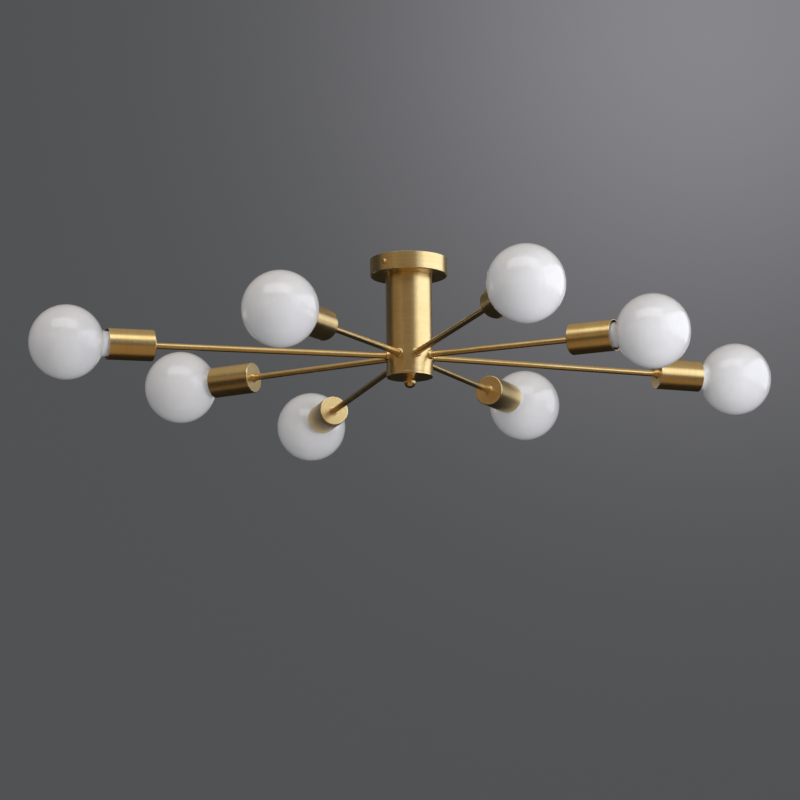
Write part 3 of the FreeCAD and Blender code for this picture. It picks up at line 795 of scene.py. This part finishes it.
class LIGHT_OT_canopy_screws(Maker, Operator):
    """Stack the rings of a threaded screw, cut its cross recess, and copy it to both sides"""

    bl_idname = "light.canopy_screws"
    bl_label = "Canopy screws"

    def make(self):
        sizes = settings().screw
        to_bench = screw_place(1).inverted()
        reaches = [(to_bench @ vertex.co).x for vertex in frame["nodes"]["canopy_screw_1"].data.vertices]
        innermost, outermost = min(reaches), max(reaches)
        seat = outermost - sizes.head_height
        depth = sizes.thread_depth
        point, runout, point_share = 0.4 * MM, 0.3 * MM, 0.8
        rings = [plain_ring(innermost, (sizes.shank_radius - depth) * point_share)]
        start, end = innermost + point, seat - runout
        rings += thread_rings(
            start, end, sizes.shank_radius, depth, sizes.thread_pitch, fade=10, steps_per_turn=12
        )
        rings.append(plain_ring(seat, sizes.shank_radius - depth / 2))
        edge, side, crown_share, dome_steps = 0.15 * MM, 0.5 * MM, 0.55, 8
        rings += [plain_ring(seat, sizes.head_radius - edge), plain_ring(seat + edge, sizes.head_radius)]
        crown = sizes.head_radius * crown_share
        for step in range(1, dome_steps + 1):
            angle = math.pi / 2 * step / dome_steps
            along = seat + side + (sizes.head_height - side) * math.sin(angle)
            radius = crown + (sizes.head_radius - crown) * math.cos(angle)
            rings.append(plain_ring(along, radius, 1.0))
        screw = ring_stack("screw", rings, 36, closed=False)
        self.cut_recess(screw, outermost, sizes)
        made = copies(screw, "cross_screw", {number: screw_place(number) for number in (1, 2)})
        for number, piece in made.items():
            dress_brass(piece, f"canopy_screw_{number}", f"side_screw_{number}")

    def cut_recess(self, screw, top, sizes):
        for turn in (0, math.pi / 2):
            bpy.ops.mesh.primitive_cube_add(size=1, location=(top, 0, 0), rotation=(turn, 0, 0))
            bar = bpy.context.active_object
            bar.scale = (2 * sizes.recess_depth, sizes.recess_width, sizes.recess_span)
            bpy.ops.object.transform_apply()
            cut_away(screw, bar)


# Arms


class LIGHT_OT_arms(Maker, Operator):
    """Spin the arm tubes, from inside the stem to inside the lampholders"""

    bl_idname = "light.arms"
    bl_label = "Arm tubes"

    def make(self):
        sizes = settings().arm
        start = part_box("arm_tube_1")[0].x
        bore = sizes.tube_radius - sizes.tube_wall
        for number in LAMP_NUMBERS:
            end = lamp_reach(number) - sizes.tube_end
            section = rounded(
                (start, bore, 0.0),
                (start, sizes.tube_radius, 0.3 * MM),
                (end, sizes.tube_radius, 0.3 * MM),
                (end, bore, 0.0),
                arc_steps=2,
            )
            tube = turned(f"brass_arm_{number}", section, settings().small_steps * 3 // 4)
            placed(tube, hub_place(number))
            dress_brass(tube, f"arm_tube_{number}")


class LIGHT_OT_hub_collars(Maker, Operator):
    """Spin a collar, shape its back to the stem, and copy it round the hub"""

    bl_idname = "light.hub_collars"
    bl_label = "Hub collars"

    def make(self):
        sizes = settings().arm
        hole = settings().stem.arm_hole
        stem_radius = frame_size("stem_tube").x / 2
        radius = sizes.hub_collar_radius
        back = math.sqrt(stem_radius**2 - radius**2) - 0.4 * MM
        front = stem_radius + sizes.hub_collar_length
        section = rounded(
            (back, hole, 0.0),
            (back, radius, 0.0),
            (front, radius, radius - hole - 0.4 * MM),
            (front, hole, 0.2 * MM),
            arc_steps=7,
        )
        collar = turned("collar", section, settings().small_steps)
        bpy.ops.mesh.primitive_cylinder_add(
            vertices=settings().round_steps, radius=stem_radius, depth=4 * radius
        )
        cut_away(collar, bpy.context.active_object)
        made = copies(collar, "brass_hub_collar", {n: hub_place(n) for n in LAMP_NUMBERS})
        for piece in made.values():
            dress_brass(piece, "hub_collars")


class LIGHT_OT_cup_collars(Maker, Operator):
    """Spin the flanged collar behind a cup and copy it to every arm"""

    bl_idname = "light.cup_collars"
    bl_label = "Cup collars"

    def make(self):
        sizes = settings().arm
        cup = settings().cup
        hole = settings().stem.arm_hole
        seat = -cup.setback - cup.depth
        flange = seat - sizes.flange_length
        end = seat - sizes.collar_length
        section = rounded(
            (seat, hole, 0.0),
            (seat, sizes.flange_radius, 0.1 * MM),
            (flange, sizes.flange_radius, 0.4 * MM),
            (flange, sizes.collar_radius, 0.15 * MM),
            (end, sizes.collar_radius, 0.4 * MM),
            (end, hole, 0.1 * MM),
        )
        collar = turned("collar", section, settings().small_steps)
        for piece in copies(collar, "brass_cup_collar", lamp_places()).values():
            dress_brass(piece, "cup_collars")


class LIGHT_OT_cups(Maker, Operator):
    """Spin a cup and copy it to every arm"""

    bl_idname = "light.cups"
    bl_label = "Cups"

    def make(self):
        sizes = settings().cup
        hole = settings().stem.arm_hole
        rim = -sizes.setback
        back = rim - sizes.depth
        floor = back + sizes.back
        inside = sizes.radius - sizes.wall
        section = rounded(
            (rim, inside, 0.3 * MM),
            (rim, sizes.radius, sizes.rim_edge),
            (back, sizes.radius, sizes.back_edge),
            (back, hole, 0.0),
            (floor, hole, 0.0),
            (floor, inside, 0.4 * MM),
        )
        cup = turned("cup", section, settings().round_steps)
        for number, piece in copies(cup, "brass_cup", lamp_places()).items():
            dress_brass(piece, f"socket_cup_{number}")


# Lamps


class LIGHT_OT_globes(Maker, Operator):
    """Spin an opal globe with its neck and copy it to every lamp"""

    bl_idname = "light.globes"
    bl_label = "Opal globes"

    def make(self):
        section = self.side(0.0) + self.skirt() + self.side(settings().globe.wall)[::-1]
        globe = turned("globe", section, settings().round_steps, closed=False)
        glass = opal_glass()
        for number, piece in copies(globe, "opal_globe", lamp_places()).items():
            dress(piece, glass, f"bulb_{number}", f"bulb_globe_{number}")

    def side(self, depth):
        """Half-section of the globe from its pole to the end of its neck, at a depth in the glass."""
        sizes = settings().globe
        radius = frame_size("bulb_globe_1").z / 2
        blend_radius = sizes.neck_radius + sizes.neck_blend
        blend_along = -math.sqrt((radius + sizes.neck_blend) ** 2 - blend_radius**2)
        blend_turn = math.atan2(blend_radius, blend_along)
        middle = (blend_along, blend_radius)
        ball = arc((0, 0), radius - depth, 0, blend_turn, 44)
        blend = arc(middle, sizes.neck_blend + depth, blend_turn - math.pi, -math.pi / 2, 8)
        return ball + blend[1:] + [(-sizes.neck_end, sizes.neck_radius - depth, 0.0)]

    def skirt(self):
        """The neck's taper to the cap and the skirt inside it."""
        sizes = settings().globe
        rim = -sizes.cap_rim
        play = 0.05 * MM
        skirt = sizes.cap_radius - sizes.cap_wall - play
        inside = skirt - sizes.wall
        end = rim - sizes.skirt
        corners = ((rim, sizes.cap_radius), (rim, skirt), (end, skirt), (end, inside), (rim, inside))
        return [(along, radius, 0.0) for along, radius in corners]


class LIGHT_OT_lamp_caps(Maker, Operator):
    """Stack the rings of a threaded screw cap, spin its insulator and contact, and copy them"""

    bl_idname = "light.lamp_caps"
    bl_label = "Screw caps"

    def make(self):
        sizes = settings().globe
        plated = plain_metal("cap_metal", (0.80, 0.79, 0.77, 1), (0.62, 0.61, 0.60, 1), 0.28)
        black_glass = moulded("cap_insulator", (0.012, 0.012, 0.014, 1), (0.03, 0.028, 0.03, 1), 0.16)
        tin = plain_metal("cap_solder", (0.66, 0.66, 0.64, 1), (0.46, 0.46, 0.45, 1), 0.42)
        parts = (
            (self.make_shell(sizes), "screw_cap", plated),
            (self.make_insulator(sizes), "cap_insulator", black_glass),
            (self.make_contact(sizes), "cap_contact", tin),
        )
        for pattern, name, material in parts:
            for number, piece in copies(pattern, name, lamp_places()).items():
                dress(piece, material, f"bulb_{number}", f"bulb_cap_{number}")

    def make_shell(self, sizes):
        """Rolled thread with a plain rim, and the same sheet seen from inside."""
        rim = -sizes.cap_rim
        end = rim - sizes.cap_thread
        root = sizes.cap_radius - sizes.thread_depth
        plain, runout, edge, lip = 2.2 * MM, 0.8 * MM, 0.2 * MM, 1.2 * MM
        start = rim - plain
        shoulder = start + runout
        thread = thread_rings(
            start, end + runout, sizes.cap_radius, sizes.thread_depth, sizes.thread_pitch, fade=8
        )
        rings = [plain_ring(rim, sizes.cap_radius - edge / 2, 1.0), plain_ring(rim - edge, sizes.cap_radius)]
        rings += [plain_ring(shoulder, sizes.cap_radius), *thread, plain_ring(end, root - edge, 1.0)]
        rings += [plain_ring(end, root - lip), *other_side(thread, -sizes.cap_wall)]
        bore = sizes.cap_radius - sizes.cap_wall
        rings += [plain_ring(shoulder, bore), plain_ring(rim, bore)]
        return ring_stack("shell", rings, settings().small_steps, closed=True)

    def make_insulator(self, sizes):
        """Black glass cone between the thread and the contact."""
        base = -sizes.cap_rim - sizes.cap_thread
        tip = base - sizes.cap_cone
        lip = 0.4 * MM
        wide = sizes.cap_radius - sizes.thread_depth - 0.3 * MM
        narrow = sizes.contact_radius + 2.2 * MM
        section = rounded(
            (base + lip, 0.0, 0.0),
            (base + lip, wide, 0.2 * MM),
            (base - lip, wide, lip),
            (tip, narrow, 0.8 * MM),
            (tip, 0.0, 0.0),
        )
        return turned("insulator", section, settings().small_steps, closed=False)

    def make_contact(self, sizes):
        """Soldered centre contact."""
        base = -sizes.cap_rim - sizes.cap_thread - sizes.cap_cone
        tip = -sizes.cap_rim - sizes.cap_length
        sunk, side, fullness, dome_steps = 0.2 * MM, 0.4 * MM, 0.7, 8
        section = [(base + sunk, 0.0, 0.0), (base + sunk, sizes.contact_radius, 0.0)]
        section += [(base - side, sizes.contact_radius, 0.0)]
        for step in range(1, dome_steps):
            angle = math.pi / 2 * step / dome_steps
            along = base - side + (tip - base + side) * math.sin(angle)
            section.append((along, sizes.contact_radius * math.cos(angle) ** fullness, 0.0))
        section.append((tip, 0.0, 0.0))
        return turned("contact", section, 32, closed=False)


class LIGHT_OT_holder_shells(Maker, Operator):
    """Stack the rings of a lampholder's threaded shell and copy it to every cup"""

    bl_idname = "light.holder_shells"
    bl_label = "Screw shells"

    def make(self):
        sizes = settings().globe
        bright = plain_metal("bright_contact_brass", (0.86, 0.70, 0.40, 1), (0.70, 0.53, 0.26, 1), 0.22)
        crest = sizes.cap_radius + sizes.shell_gap
        front, back = -sizes.shell_front, -sizes.shell_back
        wall, runout, foot, lip = 0.4 * MM, 1.0 * MM, 5.0 * MM, 2.4 * MM
        ends = (front - runout, back + foot)
        inner = thread_rings(*ends, crest, sizes.thread_depth, sizes.thread_pitch, fade=8)
        rings = [plain_ring(front, crest), *inner, plain_ring(back + wall, crest - lip)]
        rings += [plain_ring(back, crest - lip), plain_ring(back, crest), *other_side(inner, wall)]
        rings.append(plain_ring(front, crest + wall))
        shell = ring_stack("shell", rings, settings().small_steps, closed=True)
        for piece in copies(shell, "screw_shell", lamp_places()).values():
            dress(piece, bright, FRAME_BODY, "holder_shells")
        refinish("holder_contacts", bright)


class LIGHT_OT_inner_pieces(Maker, Operator):
    """Give the frame pieces that stay their real finishes"""

    bl_idname = "light.inner_pieces"
    bl_label = "Inner pieces"

    def make(self):
        zinc = plain_metal("zinc_plated_steel", (0.66, 0.67, 0.69, 1), (0.48, 0.49, 0.52, 1), 0.36)
        phenolic = moulded("moulded_phenolic", (0.020, 0.019, 0.018, 1), (0.035, 0.032, 0.030, 1), 0.34)
        ivory = moulded("ivory_plastic", (0.82, 0.81, 0.76, 1), (0.74, 0.73, 0.68, 1), 0.42)
        pvc = moulded("wire_insulation", (0.72, 0.70, 0.66, 1), (0.62, 0.60, 0.57, 1), 0.38)
        crimp = moulded("sleeve_insulation", (0.55, 0.57, 0.60, 1), (0.46, 0.48, 0.51, 1), 0.35)
        finishes = {
            zinc: ["ceiling_bracket", "earth_screw", "rod_nut_set", "tie_rod", "stem_plug", "hub_nuts"],
            phenolic: [f"lamp_holder_{number}" for number in LAMP_NUMBERS],
            ivory: ["terminal_block"],
            pvc: ["arm_wires", "feed_wires"],
            crimp: ["splice_sleeves"],
        }
        for material, nodes in finishes.items():
            for node in nodes:
                refinish(node, material)


# Stage

PANELS = (
    # name, bearing and elevation from the light, distance, width, height, brightness, tint, surfaces
    ("key", 84, 10, 1.45, 2.3, 1.15, 1.4, (0.96, 1.0, 1.12), "glossy"),
    ("key_edge", 37, 12, 2.0, 0.7, 1.2, 0.8, (0.97, 1.0, 1.06), "glossy"),
    ("side", 48, -14, 2.0, 1.5, 1.2, 3.9, (1.0, 1.0, 1.03), "matt"),
    ("fill", -62, 8, 3.0, 3.0, 1.4, 0.20, (1.0, 0.66, 0.34), "all"),
    ("front", -8, 4, 3.4, 4.0, 2.2, 0.13, (1.0, 0.66, 0.34), "glossy"),
    ("glow", 0, -52, 2.1, 4.0, 3.2, 0.26, (1.0, 0.66, 0.34), "glossy"),
    ("top", -10, 47, 2.4, 3.2, 1.3, 1.5, (1.0, 0.98, 0.92), "all"),
)


class LIGHT_OT_stage(Maker, Operator):
    """Set up the camera, the soft lights, the floor and the backdrop"""

    bl_idname = "light.stage"
    bl_label = "Stage"

    def make(self):
        self.make_camera()
        for panel in PANELS:
            self.make_panel(*panel)
        self.make_floor()
        self.make_world()
        bpy.context.scene.view_settings.view_transform = "Standard"

    def make_camera(self):
        stage = settings().stage
        bpy.ops.object.camera_add()
        camera = bpy.context.active_object
        camera.data.lens = stage.lens
        place = Vector((stage.sideways, -stage.stand_off, -stage.drop))
        place.rotate(Matrix.Rotation(stage.bearing, 3, "Z"))
        heading = Matrix.Rotation(stage.bearing + stage.pan, 4, "Z")
        tilt = Matrix.Rotation(math.pi / 2 + stage.lift, 4, "X")
        roll = Matrix.Rotation(stage.roll, 4, "Z")
        camera.matrix_world = Matrix.Translation(place) @ heading @ tilt @ roll
        bpy.context.scene.camera = camera

    def make_panel(self, name, bearing, elevation, distance, width, height, brightness, tint, surfaces):
        stage = settings().stage
        turn = stage.bearing + math.radians(bearing)
        rise = math.radians(elevation)
        out = Vector((math.sin(turn) * math.cos(rise), -math.cos(turn) * math.cos(rise), math.sin(rise)))
        middle = (cad_box[0] + cad_box[1]) / 2
        bpy.ops.object.light_add(type="AREA", location=middle + out * distance)
        lamp = bpy.context.active_object
        lamp.name = f"soft_{name}"
        lamp.rotation_euler = out.to_track_quat("Z", "Y").to_euler()
        lamp.data.shape = "RECTANGLE"
        lamp.data.size = width
        lamp.data.size_y = height
        lamp.data.color = tint
        lamp.data.energy = brightness * math.pi * width * height
        lamp.visible_camera = False
        lamp.visible_diffuse = surfaces != "glossy"
        lamp.visible_glossy = surfaces != "matt"

    def make_floor(self):
        stage = settings().stage
        bpy.ops.mesh.primitive_plane_add(size=stage.floor_size, location=(0, 0, -stage.floor_drop))
        floor = bpy.context.active_object
        floor.name = "floor"
        bpy.ops.object.transform_apply()
        material, tree = new_material("floor")
        clouds = noise(tree, object_place(tree), 3.0, 4.0)
        shade = [tint * 0.96 for tint in stage.floor[:3]] + [1]
        tint = blend_colours(tree, clouds, tuple(stage.floor), shade)
        paint = add(tree, "BsdfPrincipled", {"Base Color": tint, "Roughness": 0.8})
        clear = add(tree, "BsdfTransparent")
        middle = Vector((0, -stage.floor_forward, -stage.floor_drop))
        middle.rotate(Matrix.Rotation(stage.bearing, 3, "Z"))
        sockets = {0: object_place(tree), 1: middle}
        away = add(tree, "VectorMath", sockets, operation="DISTANCE").outputs["Value"]
        fade = spread(tree, away, 0.0, 1.0, stage.floor_clear, stage.floor_end)
        hidden = maths(tree, "MAXIMUM", fade, add(tree, "NewGeometry").outputs["Backfacing"])
        mix = add(tree, "MixShader", {0: hidden, 1: paint.outputs[0], 2: clear.outputs[0]})
        add(tree, "OutputMaterial", {"Surface": mix.outputs[0]})
        floor.data.materials.append(material)
        floor.visible_diffuse = False
        floor.visible_glossy = False

    def make_world(self):
        stage = settings().stage
        world = bpy.data.worlds.new("studio")
        bpy.context.scene.world = world
        world.use_nodes = True
        tree = world.node_tree
        tree.nodes.clear()
        bearing, lift = stage.pool_bearing, stage.pool_lift
        middle = Vector((math.sin(bearing), math.cos(bearing), math.tan(lift)))
        middle.rotate(Matrix.Rotation(stage.bearing, 3, "Z"))
        direction = add(tree, "TexCoord").outputs["Generated"]
        sockets = {0: direction, 1: middle.normalized()}
        away = add(tree, "VectorMath", sockets, operation="DISTANCE").outputs["Value"]
        share = maths(tree, "DIVIDE", away, stage.pool_spread * math.sqrt(2))
        fall = maths(tree, "EXPONENT", maths(tree, "MULTIPLY", maths(tree, "MULTIPLY", share, share), -1.0))
        ahead = Vector((-math.sin(stage.bearing), math.cos(stage.bearing), 0))
        sockets = {0: direction, 1: ahead}
        facing = add(tree, "VectorMath", sockets, operation="DOT_PRODUCT").outputs["Value"]
        lit = spread(tree, facing, 0.0, 1.0, 0.5, 0.9)
        plain = blend_colours(tree, lit, tuple(stage.far_backdrop), tuple(stage.backdrop))
        wall = blend_colours(tree, fall, plain, tuple(stage.pool))
        height = add(tree, "SeparateXYZ", {0: direction}).outputs["Z"]
        below = spread(tree, height, 0.0, 1.0, math.sin(stage.shade_start), math.sin(stage.shade_end))
        above = spread(tree, height, 0.0, 1.0, math.sin(stage.overhead_start), math.sin(stage.overhead_end))
        shaded = blend_colours(tree, below, wall, tuple(stage.shade))
        backdrop = blend_colours(tree, above, shaded, tuple(stage.overhead))
        seen = add(tree, "Background", {"Color": backdrop, "Strength": 1.0})
        room = add(tree, "Background", {"Color": (1, 1, 1, 1), "Strength": stage.room})
        soft = add(tree, "LightPath").outputs["Is Diffuse Ray"]
        mix = add(tree, "MixShader", {0: soft, 1: seen.outputs[0], 2: room.outputs[0]})
        add(tree, "OutputWorld", {"Surface": mix.outputs[0]})


MAKERS = (
    LIGHT_OT_canopy,
    LIGHT_OT_stem,
    LIGHT_OT_finial,
    LIGHT_OT_canopy_screws,
    LIGHT_OT_arms,
    LIGHT_OT_hub_collars,
    LIGHT_OT_cup_collars,
    LIGHT_OT_cups,
    LIGHT_OT_globes,
    LIGHT_OT_lamp_caps,
    LIGHT_OT_holder_shells,
    LIGHT_OT_inner_pieces,
    LIGHT_OT_stage,
)


class LIGHT_PT_panel(Panel):
    """The light's pieces and sizes"""

    bl_label = "Ceiling light"
    bl_idname = "LIGHT_PT_panel"
    bl_space_type = "VIEW_3D"
    bl_region_type = "UI"
    bl_category = "Ceiling light"

    def draw(self, context):
        for maker in MAKERS:
            self.layout.operator(maker.bl_idname)
        light = context.scene.ceiling_light
        for group in (light.stem, light.arm, light.cup, light.globe, light.screw, light.finish, light.stage):
            box = self.layout.box()
            for name in group.__annotations__:
                box.prop(group, name, text=name.replace("_", " ").capitalize())


CLASSES = (
    StemSizes,
    ArmSizes,
    CupSizes,
    GlobeSizes,
    ScrewSizes,
    Finishes,
    StageSettings,
    CeilingLight,
    *MAKERS,
    LIGHT_PT_panel,
)


def register():
    for made in CLASSES:
        bpy.utils.register_class(made)
    bpy.types.Scene.ceiling_light = PointerProperty(type=CeilingLight)


def unregister():
    del bpy.types.Scene.ceiling_light
    for made in reversed(CLASSES):
        bpy.utils.unregister_class(made)


def main():
    register()
    bpy.ops.object.select_all(action="DESELECT")
    for maker in MAKERS:
        operator = maker.bl_idname.split(".")[1]
        getattr(bpy.ops.light, operator)()


if __name__ == "__main__":
    main()
